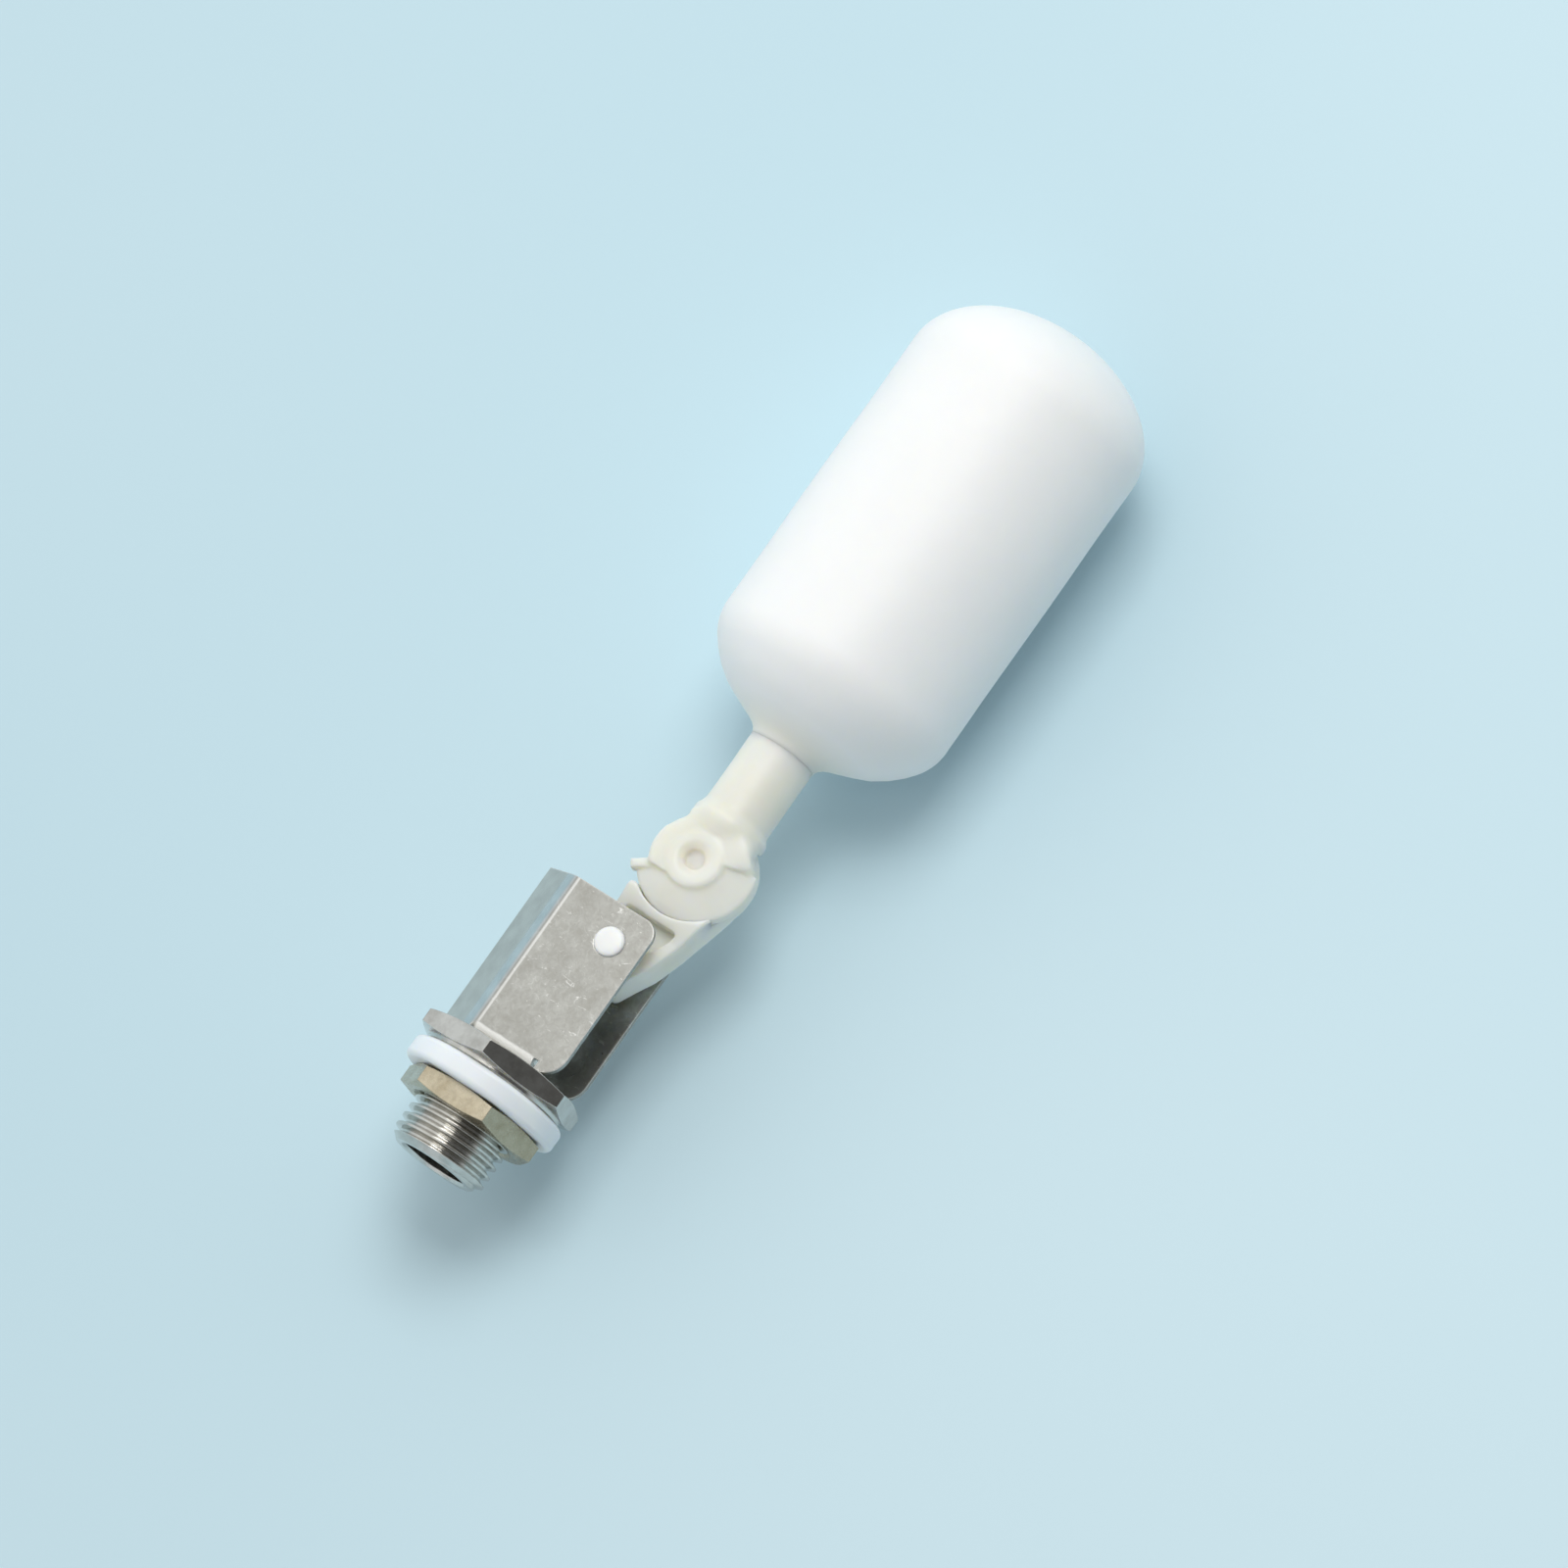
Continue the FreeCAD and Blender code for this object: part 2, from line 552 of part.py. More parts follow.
NODES = {
    "inlet_body": inlet_body,
    "nozzle_seat": nozzle_seat,
    "sealing_washer": sealing_washer,
    "lock_nut": lock_nut,
    "hood": hood,
    "hood_ring": hood_ring,
    "seal_disc": seal_disc,
    "plunger": plunger,
    "lever_pin": lever_pin,
    "lever": lever,
    "float_arm": float_arm,
    "knuckle_washer": knuckle_washer,
    "knuckle_screw": knuckle_screw,
    "float_shell": float_shell,
}

os.makedirs("parts", exist_ok=True)
for node, make in NODES.items():
    save(make(), node)
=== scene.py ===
import json
import math

import bmesh
import bpy
from mathutils import Matrix, Vector, noise


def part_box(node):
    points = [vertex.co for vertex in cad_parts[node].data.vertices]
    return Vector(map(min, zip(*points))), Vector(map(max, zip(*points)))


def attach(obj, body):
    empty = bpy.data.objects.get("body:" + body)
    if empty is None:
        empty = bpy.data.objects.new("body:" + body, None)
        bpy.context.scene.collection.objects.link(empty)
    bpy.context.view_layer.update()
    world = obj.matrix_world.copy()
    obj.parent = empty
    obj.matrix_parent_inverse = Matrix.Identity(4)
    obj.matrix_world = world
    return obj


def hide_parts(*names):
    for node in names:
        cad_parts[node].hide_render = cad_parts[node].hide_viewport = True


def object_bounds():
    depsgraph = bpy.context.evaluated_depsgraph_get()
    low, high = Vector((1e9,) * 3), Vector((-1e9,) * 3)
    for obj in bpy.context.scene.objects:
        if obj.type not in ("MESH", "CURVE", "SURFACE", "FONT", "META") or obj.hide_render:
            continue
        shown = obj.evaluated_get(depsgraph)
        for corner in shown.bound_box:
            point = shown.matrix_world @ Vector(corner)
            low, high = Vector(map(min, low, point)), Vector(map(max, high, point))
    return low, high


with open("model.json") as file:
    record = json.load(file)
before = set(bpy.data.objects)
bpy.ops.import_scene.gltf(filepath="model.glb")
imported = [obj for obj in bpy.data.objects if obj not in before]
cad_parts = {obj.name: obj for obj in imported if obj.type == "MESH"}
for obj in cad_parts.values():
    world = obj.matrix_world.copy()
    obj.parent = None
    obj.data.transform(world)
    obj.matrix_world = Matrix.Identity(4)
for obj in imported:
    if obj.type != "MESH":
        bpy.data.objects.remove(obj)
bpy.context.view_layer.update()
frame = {"nodes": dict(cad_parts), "record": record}

# A float valve lying on its side, in metres: +X along the inlet axis, +Z along the lever pin.
MM = 0.001
X_AXIS, Y_AXIS, Z_AXIS = Vector((1, 0, 0)), Vector((0, 1, 0)), Vector((0, 0, 1))

# ---------------------------------------------------------------- places, from the frame
JOINTS = {joint["name"]: joint for joint in frame["record"]["behaviour"]["joints"]}
PIN = Vector(JOINTS["lever_pivot"]["pos_m"])
KNUCKLE = Vector(JOINTS["arm_adjust"]["pos_m"])
FLOAT_LOW, FLOAT_HIGH = (Vector(corner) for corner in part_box("float_shell"))
FLOAT_RADIUS = (FLOAT_HIGH.z - FLOAT_LOW.z) / 2
PIN_LOW, PIN_HIGH = (Vector(corner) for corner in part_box("lever_pin"))
HOOD_LOW, HOOD_HIGH = (Vector(corner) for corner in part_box("hood"))

# ---------------------------------------------------------------- view
VIEW_AZIMUTH = -24.7       # degrees, 0 looks along +Y
VIEW_ELEVATION = 67.5
VIEW_ROLL = -31.7
VIEW_DISTANCE = 1.5
VIEW_LENS = 284.2
VIEW_SENSOR = 36
VIEW_REACH = 20
VIEW_AIM = Vector((50.4, -7.9, -1.7)) * MM
VALVE_TILT = 35.0          # degrees from the view's upright to the inlet axis, clockwise

# ---------------------------------------------------------------- light and floor
KEY_WAY = (-0.32, 0.52, 0.79)      # parts across the valve, along it and towards the camera
KEY_DISTANCE = 0.8
KEY_SIZE = 0.40
KEY_POWER = 2.8
KEY_COLOUR = (1.0, 0.99, 0.97)
SKY_STRENGTH = 1.03
SKY_STOPS = [(0.0, (0.52, 0.60, 0.64)), (0.25, (0.74, 0.78, 0.80)), (0.8, (0.86, 0.87, 0.86))]
DIM_WAY = (0.36, 0.05, 0.93)       # the middle of the dim patch, in the same parts as KEY_WAY
DIM_STOPS = [(0.66, 1.0), (0.86, 0.13)]
FLOOR_GAP = 0.05 * MM
FLOOR_REACH = 3.0
FLOOR_STOPS = [(0.3, (0.53, 0.725, 0.81)), (0.7, (0.60, 0.775, 0.85))]
FLOOR_ROUGHNESS = 0.6

# ---------------------------------------------------------------- moulded arm and lever
# Places along X count from the knuckle's axis towards the float, or back from it if named so.
# Heights count from the valve's middle plane.
VOXEL = 0.16 * MM
ARM_PASSES = 9
LEVER_PASSES = 7
LINE_WIDTH = 0.12 * MM             # mould line, and the rim of the ejector mark
LINE_HEIGHT = 0.05 * MM
STEM_START = 5.8 * MM
SINK_HEIGHT = 0.05 * MM
ARM_SINK_SIZE = 3.5 * MM
LEVER_SINK_SIZE = 3.0 * MM
MARK_BACK, MARK_ASIDE = 9.5 * MM, 2.4 * MM
MARK_R = 0.9 * MM
MARK_FLOOR = 2.5 * MM
FALL_SPAN = 7.5 * MM               # across, from the axis to where the front faces have fallen fully
FALL_END = 6 * MM
FALL_FADE = 4 * MM
FALL_SHARE = 0.34                  # of the height
LIMB_BACK = 6.6 * MM
LIMB_FADE = 3.4 * MM
LIMB_SHARE = 0.26
NECK_START, NECK_END = 1.8 * MM, 8.2 * MM
NECK_CLEAR = 4.2 * MM              # outside the boss
NECK_FLOOR = 1.6 * MM
NECK_PASSES = 60

# ---------------------------------------------------------------- blown float and pin
FLOAT_TURNS = 128
FLOAT_NECK = [                     # (along, radius) in mm, from the bottom of the socket outwards
    (9.1, 0), (9.1, 4.42), (-0.5, 4.42), (-0.5, 4.52), (-0.1, 4.62), (0.3, 4.85), (0.8, 5.4),
    (1.3, 6.3), (1.9, 7.7), (2.6, 9.3), (3.5, 11.1), (4.7, 12.7), (6.1, 14.1),
]
SHOULDER_END = 11.2 * MM
SHOULDER_R = 6.7 * MM
SHOULDER_DEG = 132
SHOULDER_STEPS = 9
SIDE_STEPS = 30
DOME_LENGTH = 11.0 * MM
DOME_STEPS = 24
SEAM_WIDTH = 0.35 * MM
WALL_SINK = 0.12 * MM
PIN_TURNS = 48
PIN_HEAD = [                       # (depth below the tip in mm, share of the radius)
    (0, 0), (0.01, 0.3), (0.04, 0.60), (0.10, 0.80), (0.19, 0.92), (0.34, 0.985), (0.5, 1),
]


# ---------------------------------------------------------------- camera and stage
def view_axes():
    """Right, up and backward directions of the camera."""
    azimuth, elevation, roll = (math.radians(a) for a in (VIEW_AZIMUTH, VIEW_ELEVATION, VIEW_ROLL))
    back = Vector((math.sin(azimuth) * math.cos(elevation), -math.cos(azimuth) * math.cos(elevation),
                   math.sin(elevation)))
    right = Vector((math.cos(azimuth), math.sin(azimuth), 0))
    up = back.cross(right)
    return (right * math.cos(roll) + up * math.sin(roll),
            up * math.cos(roll) - right * math.sin(roll), back)


def valve_way(across, along, back):
    """Direction from its parts across the valve, along it and towards the camera."""
    right, up, backward = view_axes()
    tilt = math.radians(VALVE_TILT)
    x_way = right * math.cos(tilt) - up * math.sin(tilt)
    y_way = right * math.sin(tilt) + up * math.cos(tilt)
    return (x_way * across + y_way * along + backward * back).normalized()


def add_camera():
    right, up, back = view_axes()
    data = bpy.data.cameras.new("camera")
    data.lens = VIEW_LENS
    data.sensor_width = VIEW_SENSOR
    data.clip_end = VIEW_REACH
    camera = bpy.data.objects.new("camera", data)
    turn = Matrix((right, up, back)).transposed().to_4x4()
    camera.matrix_world = Matrix.Translation(VIEW_AIM + back * VIEW_DISTANCE) @ turn
    bpy.context.scene.collection.objects.link(camera)
    bpy.context.scene.camera = camera


def add_key_light():
    """Square soft light that faces the object."""
    way = valve_way(*KEY_WAY)
    data = bpy.data.lights.new("key", "AREA")
    data.size = KEY_SIZE
    data.energy = KEY_POWER
    data.color = KEY_COLOUR
    light = bpy.data.objects.new("key", data)
    light.location = VIEW_AIM + way * KEY_DISTANCE
    light.rotation_euler = way.to_track_quat("Z", "Y").to_euler()
    bpy.context.scene.collection.objects.link(light)


def add_world():
    """Pale studio with one dim patch above, which gives the plated faces their dark reflections."""
    world = bpy.data.worlds.new("studio")
    world.use_nodes = True
    graph = Graph(world.node_tree)
    ways = graph.add("ShaderNodeTexCoord").outputs["Generated"]
    patch = graph.add("ShaderNodeVectorMath", {"operation": "DOT_PRODUCT"})
    graph.link(ways, patch, 0)
    graph.link(tuple(valve_way(*DIM_WAY)), patch, 1)
    dim = graph.ramp(patch.outputs["Value"], DIM_STOPS)
    height = graph.add("ShaderNodeSeparateXYZ", Vector=ways).outputs["Z"]
    sky = graph.mix(1.0, graph.ramp(height, SKY_STOPS), dim, "MULTIPLY")
    background = graph.add("ShaderNodeBackground", Color=sky, Strength=SKY_STRENGTH)
    graph.add("ShaderNodeOutputWorld", Surface=background.outputs[0])
    bpy.context.scene.world = world


def add_floor():
    """Pale floor just under the lowest piece."""
    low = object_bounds()[0]
    height = low[2] - FLOOR_GAP
    mesh = bpy.data.meshes.new("floor")
    corners = [(-FLOOR_REACH, -FLOOR_REACH, height), (FLOOR_REACH, -FLOOR_REACH, height),
               (FLOOR_REACH, FLOOR_REACH, height), (-FLOOR_REACH, FLOOR_REACH, height)]
    mesh.from_pydata(corners, [], [(0, 1, 2, 3)])
    floor = bpy.data.objects.new("floor", mesh)
    bpy.context.scene.collection.objects.link(floor)
    material, graph, shader = new_material("floor_paint")
    drift = graph.noise(graph.add("ShaderNodeTexCoord").outputs["Object"], 4.0, 1)
    graph.link(graph.ramp(drift, FLOOR_STOPS), shader, "Base Color")
    shader.inputs["Roughness"].default_value = FLOOR_ROUGHNESS
    mesh.materials.append(material)


# ---------------------------------------------------------------- node graphs
class Graph:
    """Adds shader nodes with named inputs to one node tree."""

    def __init__(self, tree):
        self.tree = tree
        tree.nodes.clear()

    def add(self, kind, settings=None, **inputs):
        node = self.tree.nodes.new(kind)
        for name, value in (settings or {}).items():
            setattr(node, name, value)
        for name, value in inputs.items():
            self.link(value, node, name)
        return node

    def link(self, value, node, name):
        """Links a node's first output or a socket to an input, or sets the input to a value."""
        socket = node.inputs[name]
        if isinstance(value, bpy.types.Node):
            value = value.outputs[0]
        if isinstance(value, bpy.types.NodeSocket):
            self.tree.links.new(value, socket)
        elif isinstance(value, tuple) and len(value) == 3 and socket.type == "RGBA":
            socket.default_value = (*value, 1.0)
        else:
            socket.default_value = value

    def noise(self, vector, scale, detail=2.0, roughness=0.5, distortion=0.0):
        node = self.add("ShaderNodeTexNoise", Vector=vector, Scale=scale, Detail=detail,
                        Roughness=roughness, Distortion=distortion)
        return node.outputs["Fac"]

    def ramp(self, factor, stops):
        """Colour ramp from (position, colour or grey) stops."""
        node = self.add("ShaderNodeValToRGB", Fac=factor)
        elements = node.color_ramp.elements
        while len(elements) < len(stops):
            elements.new(0.5)
        for element, (position, colour) in zip(elements, stops):
            element.position = position
            element.color = (*(colour if isinstance(colour, tuple) else [colour] * 3), 1.0)
        return node.outputs["Color"]

    def math(self, operation, a, b=0.0):
        node = self.add("ShaderNodeMath", {"operation": operation})
        self.link(a, node, 0)
        self.link(b, node, 1)
        return node.outputs[0]

    def mix(self, factor, a, b, blend="MIX"):
        node = self.add("ShaderNodeMix", {"data_type": "RGBA", "blend_type": blend})
        self.link(factor, node, 0)
        self.link(a, node, 6)
        self.link(b, node, 7)
        return node.outputs[2]

    def stretch(self, vector, scale):
        return self.add("ShaderNodeMapping", Vector=vector, Scale=scale).outputs[0]

    def bump(self, height, strength, depth, normal=None):
        node = self.add("ShaderNodeBump", Height=height, Strength=strength, Distance=depth)
        if normal is not None:
            self.link(normal, node, "Normal")
        return node.outputs[0]

    def soft_edges(self, radius):
        """Normal rounded over the edges, and how near an edge the surface is, 0 to 1."""
        soft = self.add("ShaderNodeBevel", {"samples": 6}, Radius=radius).outputs[0]
        flat = self.add("ShaderNodeNewGeometry").outputs["Normal"]
        agree = self.add("ShaderNodeVectorMath", {"operation": "DOT_PRODUCT"})
        self.link(soft, agree, 0)
        self.link(flat, agree, 1)
        return soft, self.ramp(agree.outputs["Value"], [(0.80, 1.0), (0.985, 0.0)])


def new_material(name):
    material = bpy.data.materials.new(name)
    material.use_nodes = True
    graph = Graph(material.node_tree)
    shader = graph.add("ShaderNodeBsdfPrincipled")
    output = graph.add("ShaderNodeOutputMaterial")
    graph.link(shader.outputs[0], output, "Surface")
    return material, graph, shader


# ---------------------------------------------------------------- materials
def nickel_plate(name, light, dark, gloss):
    """Bright plate over turned metal: fine rings round the inlet axis, faint stains, a painted highlight
    on the edges.
    """
    material, graph, shader = new_material(name)
    coords = graph.add("ShaderNodeTexCoord").outputs["Object"]
    soft, edge = graph.soft_edges(0.16 * MM)
    stain = graph.noise(coords, 420, 4, 0.65)
    tone = graph.ramp(stain, [(0.34, dark), (0.60, light)])
    # Painted highlight: near the edges the base colour is lightened.
    edge_highlight = tuple(min(1.0, value * 1.16) for value in light)
    graph.link(graph.mix(edge, tone, edge_highlight), shader, "Base Color")
    shader.inputs["Metallic"].default_value = 1.0
    grain = graph.noise(coords, 1500, 3)
    graph.link(graph.ramp(grain, [(0.3, gloss), (0.75, gloss + 0.12)]), shader, "Roughness")
    rings = graph.noise(graph.stretch(coords, (9000, 60, 60)), 1, 2)
    graph.link(graph.bump(rings, 0.10, 0.02 * MM, soft), shader, "Normal")
    return material


def hood_masks(graph, coords, cloud):
    """Where the hood's outer faces, its slanting strips and its bends with a painted highlight are, each
    0 to 1.
    """
    place = graph.add("ShaderNodeSeparateXYZ", Vector=coords)
    depth = graph.math("DIVIDE", graph.math("ABSOLUTE", place.outputs["Z"]), HOOD_HIGH.z)
    outside = graph.ramp(depth, [(0.70, 0.0), (0.78, 1.0)])
    rise = graph.math("DIVIDE", graph.math("SUBTRACT", place.outputs["X"], HOOD_LOW.x), 4 * MM)
    sway = graph.math("MULTIPLY", graph.math("SUBTRACT", cloud, 0.5), 0.10)
    foot = graph.ramp(graph.math("ADD", rise, sway), [(0.32, 1.0), (0.38, 0.0)])
    side = graph.math("SUBTRACT", place.outputs["Y"], HOOD_LOW.y)
    side = graph.math("DIVIDE", side, HOOD_HIGH.y - HOOD_LOW.y)
    strip = graph.ramp(side, [(0.685, 0.0), (0.705, 1.0)])
    bend = graph.ramp(side, [(0.660, 0.0), (0.668, 0.5), (0.678, 0.5), (0.686, 0.0)])
    tab = graph.ramp(side, [(0.200, 0.0), (0.206, 1.0), (0.67, 1.0), (0.69, 0.0)])
    # Painted highlight along the foot bend and the fold line.
    painted_bend_highlight = graph.math("MAXIMUM", graph.math("MULTIPLY", foot, tab), bend)
    return outside, strip, graph.math("MULTIPLY", painted_bend_highlight, outside)


def mottled_steel():
    """Stamped sheet: flecked satin side plates; smoother strips and inside in painted reflection tones;
    a painted highlight on its bends and edges.
    """
    material, graph, shader = new_material("mottled_steel")
    coords = graph.add("ShaderNodeTexCoord").outputs["Object"]
    soft, edge = graph.soft_edges(0.26 * MM)
    fleck = graph.noise(coords, 1500, 4, 0.62, 0.8)
    cloud = graph.noise(coords, 380, 4, 0.6)
    tone = graph.mix(0.45, fleck, cloud)
    plate = graph.ramp(tone, [(0.36, (0.315, 0.31, 0.285)), (0.50, (0.365, 0.363, 0.34)),
                              (0.60, (0.42, 0.42, 0.395)), (0.70, (0.52, 0.52, 0.50))])
    scratch = graph.noise(graph.stretch(coords, (1.0, 0.45, 1.0)), 1100, 3, 0.75, 1.6)
    plate = graph.mix(graph.ramp(scratch, [(0.62, 0.0), (0.69, 1.0)]), plate, (0.62, 0.62, 0.60))
    # Painted reflection: the slanting strips get a lighter, bluer grey than the side plates.
    strip_painted_reflection = graph.ramp(cloud, [(0.35, (0.57, 0.60, 0.60)), (0.65, (0.66, 0.69, 0.69))])
    # Painted reflection: the inner faces get a lighter, warmer tone than the outer plates.
    inner_painted_reflection = graph.ramp(cloud, [(0.35, (0.56, 0.52, 0.48)), (0.65, (0.66, 0.62, 0.57))])
    outside, strip, painted_bend_highlight = hood_masks(graph, coords, cloud)
    # Painted highlight: bends and edges are made paler and less metallic.
    painted_highlight = graph.math("MAXIMUM", painted_bend_highlight, edge)
    tint = graph.mix(outside, inner_painted_reflection, graph.mix(strip, plate, strip_painted_reflection))
    graph.link(graph.mix(painted_highlight, tint, (0.95, 0.95, 0.93)), shader, "Base Color")
    graph.link(graph.ramp(painted_highlight, [(0.0, 1.0), (1.0, 0.30)]), shader, "Metallic")
    rough = graph.ramp(fleck, [(0.3, 0.40), (0.7, 0.27)])
    smooth = graph.ramp(cloud, [(0.3, 0.10), (0.7, 0.17)])
    graph.link(graph.mix(outside, smooth, rough), shader, "Roughness")
    graph.link(graph.bump(tone, 0.35, 0.05 * MM, soft), shader, "Normal")
    return material


def moulded_plastic(name, light, dark, roughness, depth, weight, spot=None):
    """Moulded resin: slow colour drift, fine grain, light carried under it, a tinted spot if asked."""
    material, graph, shader = new_material(name)
    coords = graph.add("ShaderNodeTexCoord").outputs["Object"]
    drift = graph.noise(coords, 130, 3, 0.55)
    colour = graph.ramp(drift, [(0.35, dark), (0.62, light)])
    if spot is not None:
        centre, reach, tint = spot
        away = graph.add("ShaderNodeVectorMath", {"operation": "DISTANCE"})
        graph.link(coords, away, 0)
        graph.link(tuple(centre), away, 1)
        share = graph.math("DIVIDE", away.outputs["Value"], reach)
        colour = graph.mix(graph.ramp(share, [(0.22, 0.7), (0.62, 0.0)]), colour, tint)
    graph.link(colour, shader, "Base Color")
    shader.inputs["Subsurface Weight"].default_value = weight
    shader.inputs["Subsurface Radius"].default_value = (1.0, 0.85, 0.5)
    shader.inputs["Subsurface Scale"].default_value = depth
    grain = graph.noise(coords, 700, 4, 0.6)
    gloss = graph.ramp(grain, [(0.3, roughness - 0.06), (0.7, roughness + 0.07)])
    graph.link(gloss, shader, "Roughness")
    graph.link(graph.bump(grain, 0.12, 0.03 * MM), shader, "Normal")
    return material


# ---------------------------------------------------------------- mesh helpers
def dress(mesh, material):
    mesh.materials.clear()
    mesh.materials.append(material)


def add_piece(mesh, body, nodes, material):
    """Adds a mesh as the visible piece that stands for CAD nodes."""
    piece = bpy.data.objects.new(mesh.name, mesh)
    bpy.context.scene.collection.objects.link(piece)
    dress(mesh, material)
    for face in mesh.polygons:
        face.use_smooth = True
    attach(piece, body)
    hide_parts(*nodes)


def turned_mesh(name, profile, axis, turns, shape=None):
    """Closed solid of revolution from (along, radius) points whose ends lie on the axis."""
    start, way, side = axis
    across = way.cross(side)
    form = bmesh.new()
    rings = []
    for along, radius in profile:
        if radius == 0:
            rings.append([form.verts.new(start + way * along)])
            continue
        ring = []
        for turn in range(turns):
            angle = 2 * math.pi * turn / turns
            reach = radius + (shape(along, angle, radius) if shape else 0)
            out = side * math.cos(angle) + across * math.sin(angle)
            ring.append(form.verts.new(start + way * along + out * reach))
        rings.append(ring)
    for low, high in zip(rings, rings[1:]):
        for turn in range(turns):
            after = (turn + 1) % turns
            if len(low) == 1:
                form.faces.new((low[0], high[after], high[turn]))
            elif len(high) == 1:
                form.faces.new((low[turn], low[after], high[0]))
            else:
                form.faces.new((low[turn], low[after], high[after], high[turn]))
    bmesh.ops.recalc_face_normals(form, faces=form.faces[:])
    mesh = bpy.data.meshes.new(name)
    form.to_mesh(mesh)
    form.free()
    return mesh


def arc(centre, radius, start, end, steps):
    """Points of an ellipse's arc about (along, radius), angles in degrees from the axis direction."""
    points = []
    for step in range(steps + 1):
        angle = math.radians(start + (end - start) * step / steps)
        points.append((centre[0] + radius[0] * math.cos(angle), centre[1] + radius[1] * math.sin(angle)))
    return points


def ripple(place, size, height):
    return noise.noise(place / size) * height


def ridge(offset, width, height):
    """Height of a fine rounded line at a distance from its middle."""
    return math.exp(-(offset / width) ** 2) * height


def clamp(share):
    return min(1.0, max(0.0, share))


# ---------------------------------------------------------------- moulded pieces
def softened_mesh(name, node, passes, relief):
    """Copy of a CAD node with rounded edges and a fine relief, as it comes from the mould."""
    source = bpy.data.objects.new(name + "_source", frame["nodes"][node].data.copy())
    bpy.context.scene.collection.objects.link(source)
    remesh = source.modifiers.new("remesh", "REMESH")
    remesh.mode = "VOXEL"
    remesh.voxel_size = VOXEL
    smooth = source.modifiers.new("smooth", "SMOOTH")
    smooth.factor = 0.5
    smooth.iterations = passes
    evaluated = source.evaluated_get(bpy.context.evaluated_depsgraph_get())
    mesh = bpy.data.meshes.new_from_object(evaluated)
    mesh.name = name
    bpy.data.objects.remove(source)
    shifts = [vertex.normal * relief(vertex.co) for vertex in mesh.vertices]
    for vertex, shift in zip(mesh.vertices, shifts):
        vertex.co += shift
        vertex.co.z *= height_left(vertex.co)
    return mesh


def height_left(place):
    """Share of its height a front face keeps where it falls away to the open side of the hood."""
    if place.z < 0:
        return 1.0
    out = clamp((KNUCKLE.y - place.y) / FALL_SPAN)
    fade = clamp((KNUCKLE.x + FALL_END - place.x) / FALL_FADE)
    limb = clamp((KNUCKLE.x - LIMB_BACK - place.x) / LIMB_FADE)
    return 1.0 - FALL_SHARE * out * out * fade - LIMB_SHARE * limb


def arm_relief(place):
    """Faint sink, and a mould line along the stem's sides."""
    line = ridge(place.z, LINE_WIDTH, LINE_HEIGHT) if place.x > KNUCKLE.x + STEM_START else 0
    return ripple(place, ARM_SINK_SIZE, SINK_HEIGHT) + line


def lever_relief(place):
    """Faint sink, and a round ejector mark on the front of the limb."""
    mark = math.hypot(place.x - KNUCKLE.x + MARK_BACK, place.y - KNUCKLE.y - MARK_ASIDE)
    rim = ridge(mark - MARK_R, LINE_WIDTH, LINE_HEIGHT) if place.z > MARK_FLOOR else 0
    return ripple(place, LEVER_SINK_SIZE, SINK_HEIGHT) - rim


def on_neck(place):
    """Whether a point of the arm lies in front between the boss and the stem."""
    along = place.x - KNUCKLE.x
    out = math.hypot(along, place.y - KNUCKLE.y)
    return NECK_START < along < NECK_END and out > NECK_CLEAR and place.z > NECK_FLOOR


def melt_neck(mesh):
    """Smooths the arm's neck many times over, so the forms there flow into each other."""
    form = bmesh.new()
    form.from_mesh(mesh)
    points = [vertex for vertex in form.verts if on_neck(vertex.co)]
    for _ in range(NECK_PASSES):
        bmesh.ops.smooth_vert(form, verts=points, factor=0.5,
                              use_axis_x=True, use_axis_y=True, use_axis_z=True)
    form.to_mesh(mesh)
    form.free()


def make_arm():
    mesh = softened_mesh("moulded_arm", "float_arm", ARM_PASSES, arm_relief)
    melt_neck(mesh)
    add_piece(mesh, "arm", ["float_arm"], IVORY)


def make_lever():
    mesh = softened_mesh("moulded_lever", "lever", LEVER_PASSES, lever_relief)
    add_piece(mesh, "lever", ["lever"], IVORY)


# ---------------------------------------------------------------- turned pieces
def float_shape(along, angle, radius):
    """Mould line in the plane of the two halves, slow sink and fine ripples of the wall."""
    line = ridge(math.sin(angle) * radius, SEAM_WIDTH, LINE_HEIGHT)
    place = Vector((along, radius * math.cos(angle), radius * math.sin(angle)))
    sink = line + ripple(place, 14 * MM, 0.10 * MM) + ripple(place, 3 * MM, 0.015 * MM) - WALL_SINK
    return sink * (radius / FLOAT_RADIUS) ** 2


def make_float():
    wall = FLOAT_RADIUS
    length = FLOAT_HIGH.x - FLOAT_LOW.x
    neck = [(along * MM, radius * MM) for along, radius in FLOAT_NECK]
    shoulder = arc((SHOULDER_END, wall - SHOULDER_R), (SHOULDER_R, SHOULDER_R),
                   SHOULDER_DEG, 90, SHOULDER_STEPS)
    straight = length - DOME_LENGTH - SHOULDER_END
    side = [(SHOULDER_END + straight * step / SIDE_STEPS, wall) for step in range(1, SIDE_STEPS)]
    dome = arc((length - DOME_LENGTH, 0), (DOME_LENGTH, wall), 90, 0, DOME_STEPS)[:-1]
    profile = neck + shoulder + side + dome + [(length, 0)]
    axis = (Vector((FLOAT_LOW.x, KNUCKLE.y, 0)), X_AXIS, Y_AXIS)
    mesh = turned_mesh("blown_float", profile, axis, FLOAT_TURNS, float_shape)
    add_piece(mesh, "arm", ["float_shell"], FLOAT)


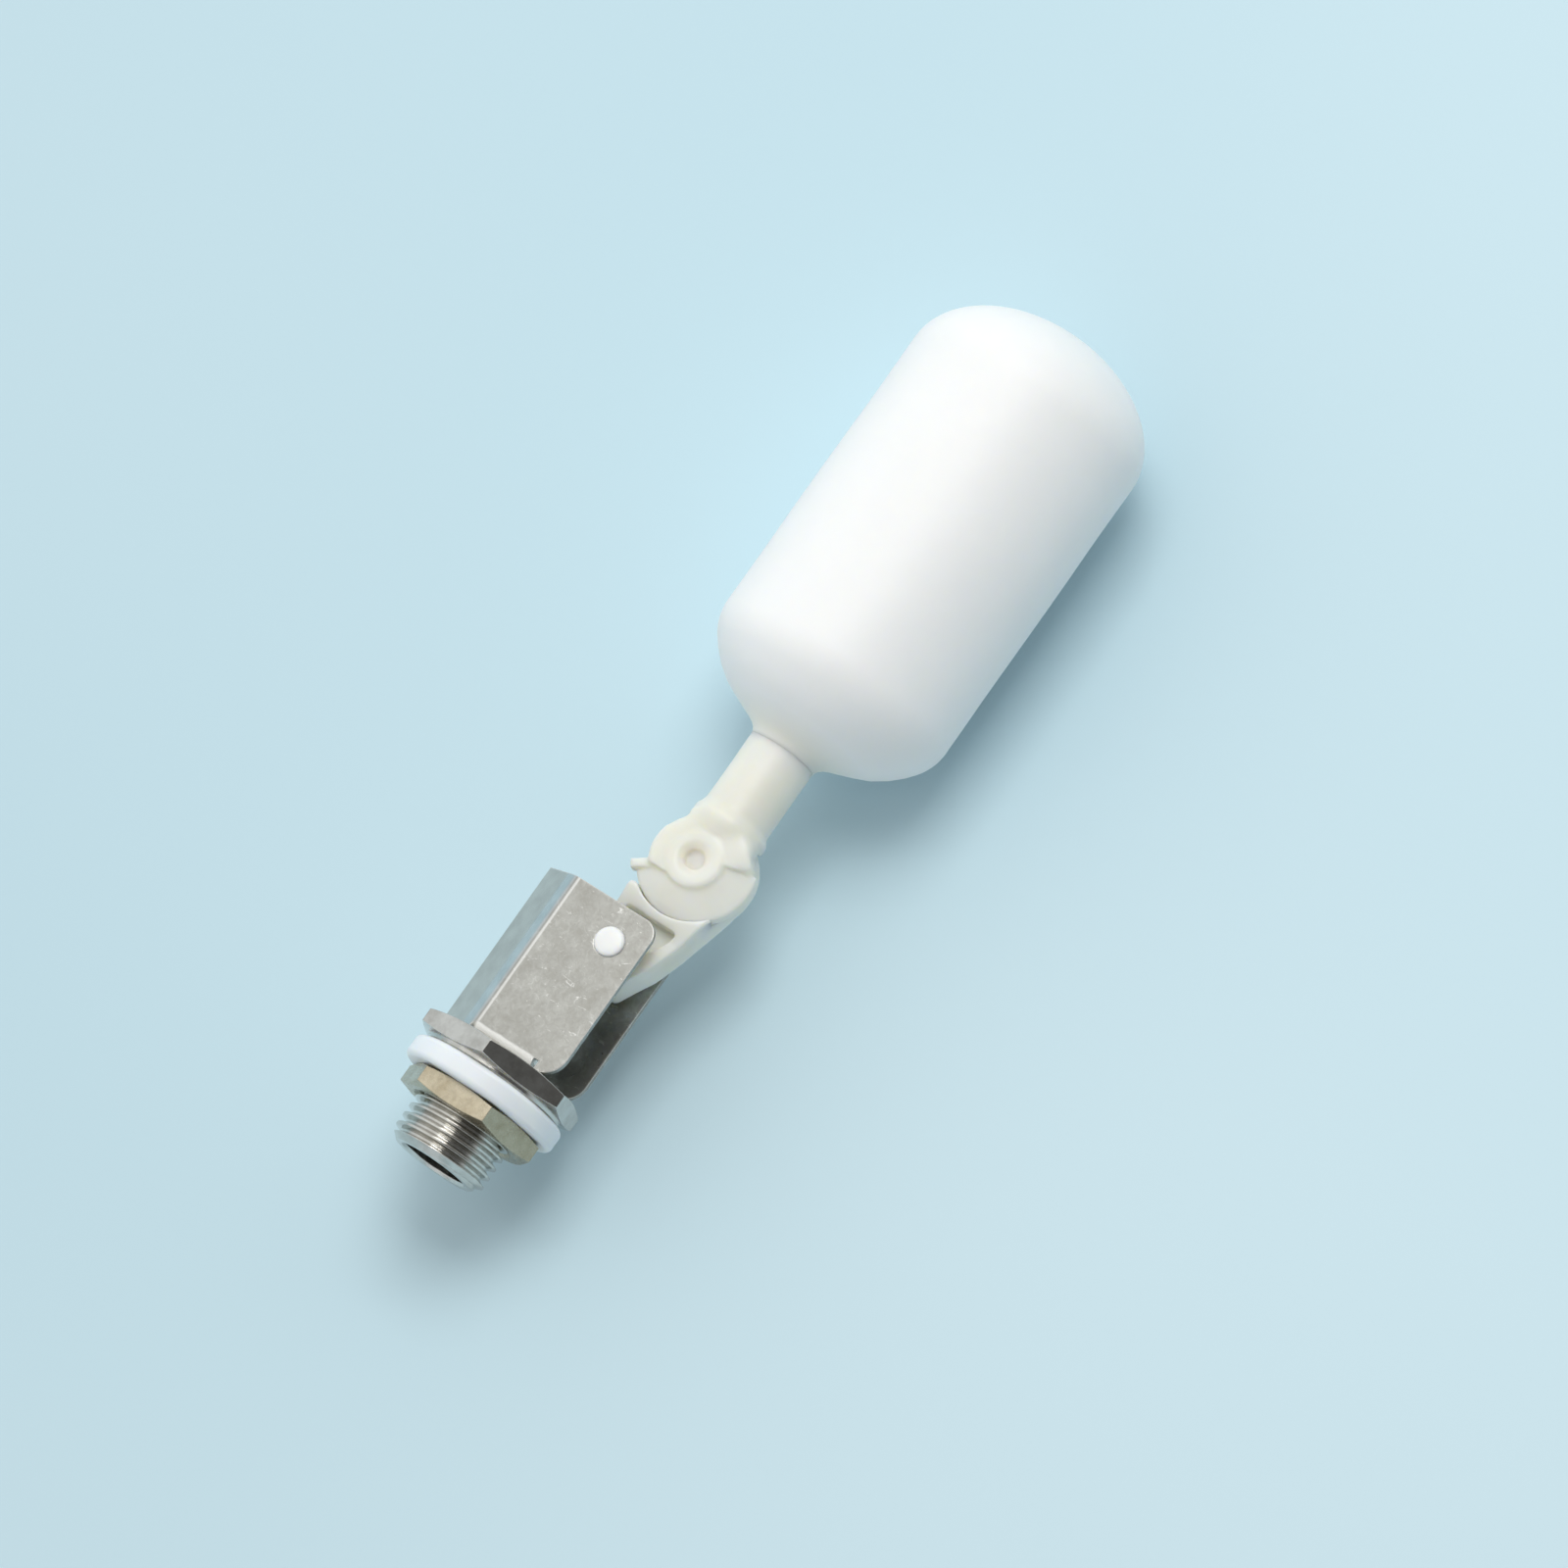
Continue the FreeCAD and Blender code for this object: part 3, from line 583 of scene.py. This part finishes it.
def make_pin():
    """Pin with a low domed head at each end."""
    radius = (PIN_HIGH.x - PIN_LOW.x) / 2
    head = [(PIN_HIGH.z - depth * MM, share * radius) for depth, share in PIN_HEAD]
    profile = [(-along, size) for along, size in head] + head[::-1]
    axis = (Vector((PIN.x, PIN.y, 0)), Z_AXIS, X_AXIS)
    mesh = turned_mesh("domed_pin", profile, axis, PIN_TURNS)
    add_piece(mesh, "valve_body", ["lever_pin"], WHITE)


# ---------------------------------------------------------------- the scene
METAL = nickel_plate("nickel_plate", light=(0.68, 0.67, 0.635), dark=(0.53, 0.515, 0.48), gloss=0.10)
BRASSY = nickel_plate("warm_plate", light=(0.50, 0.445, 0.335), dark=(0.40, 0.345, 0.245), gloss=0.22)
STEEL = mottled_steel()
IVORY = moulded_plastic(
    "ivory_resin", light=(0.84, 0.838, 0.785), dark=(0.81, 0.805, 0.73), roughness=0.40,
    depth=3.0 * MM, weight=0.85,
    spot=(KNUCKLE + Vector((0, 0, 3.4)) * MM, 4 * MM, (0.90, 0.82, 0.68)))
WHITE = moulded_plastic(
    "white_resin", light=(0.92, 0.93, 0.92), dark=(0.89, 0.90, 0.89), roughness=0.40,
    depth=0.6 * MM, weight=0.3)
MILKY = moulded_plastic(
    "milky_resin", light=(0.86, 0.90, 0.93), dark=(0.83, 0.87, 0.91), roughness=0.42,
    depth=1.2 * MM, weight=0.4)
FLOAT = moulded_plastic(
    "float_resin", light=(0.935, 0.94, 0.94), dark=(0.92, 0.925, 0.925), roughness=0.5,
    depth=1.0 * MM, weight=0.25,
    spot=(Vector((FLOAT_LOW.x - 2 * MM, KNUCKLE.y, 0)), 18 * MM, (0.78, 0.765, 0.64)))
RUBBER = moulded_plastic(
    "seal_rubber", light=(0.03, 0.03, 0.033), dark=(0.018, 0.018, 0.02), roughness=0.6,
    depth=0.1 * MM, weight=0.0)

CAD_MATERIALS = {
    "inlet_body": METAL, "hood_ring": METAL, "lock_nut": BRASSY,
    "hood": STEEL, "knuckle_washer": STEEL, "knuckle_screw": STEEL,
    "plunger": WHITE, "nozzle_seat": WHITE, "sealing_washer": MILKY, "seal_disc": RUBBER,
}
for node_name, node_material in CAD_MATERIALS.items():
    dress(frame["nodes"][node_name].data, node_material)
make_arm()
make_lever()
make_float()
make_pin()

bpy.context.scene.view_settings.view_transform = "Standard"
add_camera()
add_world()
add_floor()
add_key_light()
